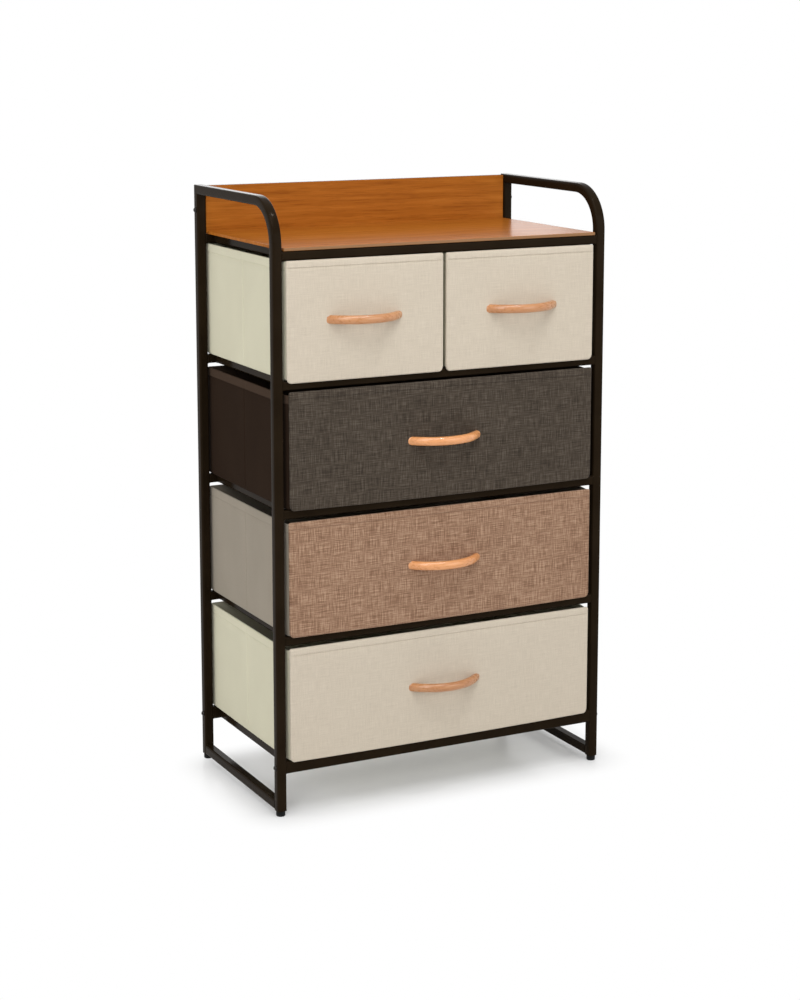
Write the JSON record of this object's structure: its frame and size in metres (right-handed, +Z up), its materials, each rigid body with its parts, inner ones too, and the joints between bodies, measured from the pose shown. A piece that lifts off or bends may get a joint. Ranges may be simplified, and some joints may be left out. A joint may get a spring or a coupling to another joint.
{
  "type": "fabric drawer dresser",
  "caption": "Tall drawer tower: tube frame with curved guard rails, a wooden shelf and backboard on top, and pull-out fabric drawers with bow handles.",
  "frame": {"origin": "on the floor, under the middle of the whole footprint, handles included", "axes": "+Z up, +X to the right of someone facing the drawers, +Y towards the wall; the drawers open towards -Y"},
  "size_m": [0.6124, 0.3644, 1],
  "materials": {
    "tube": "black-brown powder coat, satin",
    "bolt": "black, satin",
    "foot": "black, matt",
    "board": "honey brown wood grain, satin",
    "cream_cloth": "cream linen weave, matt",
    "charcoal_cloth": "dark brown-grey linen weave, matt",
    "tweed_cloth": "brown and tan mottled weave, matt",
    "stiffener": "bare fibreboard, matt",
    "handle_wood": "pale reddish wood, satin lacquer"
  },
  "bodies": {
    "frame": {"left_rear_post": "tube", "left_guard_post": "tube", "left_floor_rail": "tube", "left_front_foot": "foot", "left_rear_foot": "foot", "right_rear_post": "tube", "right_guard_post": "tube", "right_floor_rail": "tube", "right_front_foot": "foot", "right_rear_foot": "foot", "shelf_front_rail": "tube", "shelf_rear_rail": "tube", "shelf_left_rail": "tube", "shelf_right_rail": "tube", "tier_1_front_rail": "tube", "tier_1_rear_rail": "tube", "tier_1_left_rail": "tube", "tier_1_right_rail": "tube", "tier_2_front_rail": "tube", "tier_2_rear_rail": "tube", "tier_2_left_rail": "tube", "tier_2_right_rail": "tube", "tier_3_front_rail": "tube", "tier_3_rear_rail": "tube", "tier_3_left_rail": "tube", "tier_3_right_rail": "tube", "tier_4_front_rail": "tube", "tier_4_rear_rail": "tube", "tier_4_left_rail": "tube", "tier_4_right_rail": "tube", "left_backboard_bolt": "bolt", "left_rear_base_bolt": "bolt", "left_front_base_bolt": "bolt", "right_backboard_bolt": "bolt", "right_rear_base_bolt": "bolt", "right_front_base_bolt": "bolt", "shelf_board": "board", "backboard": "board"},
    "top_left_drawer": {"top_left_drawer_bin": "cream_cloth", "top_left_drawer_base_board": "stiffener", "top_left_drawer_front": "cream_cloth", "top_left_drawer_handle": "handle_wood"},
    "top_right_drawer": {"top_right_drawer_bin": "cream_cloth", "top_right_drawer_base_board": "stiffener", "top_right_drawer_front": "cream_cloth", "top_right_drawer_handle": "handle_wood"},
    "charcoal_drawer": {"charcoal_drawer_bin": "charcoal_cloth", "charcoal_drawer_base_board": "stiffener", "charcoal_drawer_front": "charcoal_cloth", "charcoal_drawer_handle": "handle_wood"},
    "tweed_drawer": {"tweed_drawer_bin": "tweed_cloth", "tweed_drawer_base_board": "stiffener", "tweed_drawer_front": "tweed_cloth", "tweed_drawer_handle": "handle_wood"},
    "bottom_drawer": {"bottom_drawer_bin": "cream_cloth", "bottom_drawer_base_board": "stiffener", "bottom_drawer_front": "cream_cloth", "bottom_drawer_handle": "handle_wood"}
  },
  "joints": [
    {"name": "top_left_drawer_slide", "type": "slide", "parent": "frame", "child": "top_left_drawer", "axis": [0, -1, 0], "range_m": [0, 0.24]},
    {"name": "top_right_drawer_slide", "type": "slide", "parent": "frame", "child": "top_right_drawer", "axis": [0, -1, 0], "range_m": [0, 0.24]},
    {"name": "charcoal_drawer_slide", "type": "slide", "parent": "frame", "child": "charcoal_drawer", "axis": [0, -1, 0], "range_m": [0, 0.24]},
    {"name": "tweed_drawer_slide", "type": "slide", "parent": "frame", "child": "tweed_drawer", "axis": [0, -1, 0], "range_m": [0, 0.24]},
    {"name": "bottom_drawer_slide", "type": "slide", "parent": "frame", "child": "bottom_drawer", "axis": [0, -1, 0], "range_m": [0, 0.24]}
  ]
}
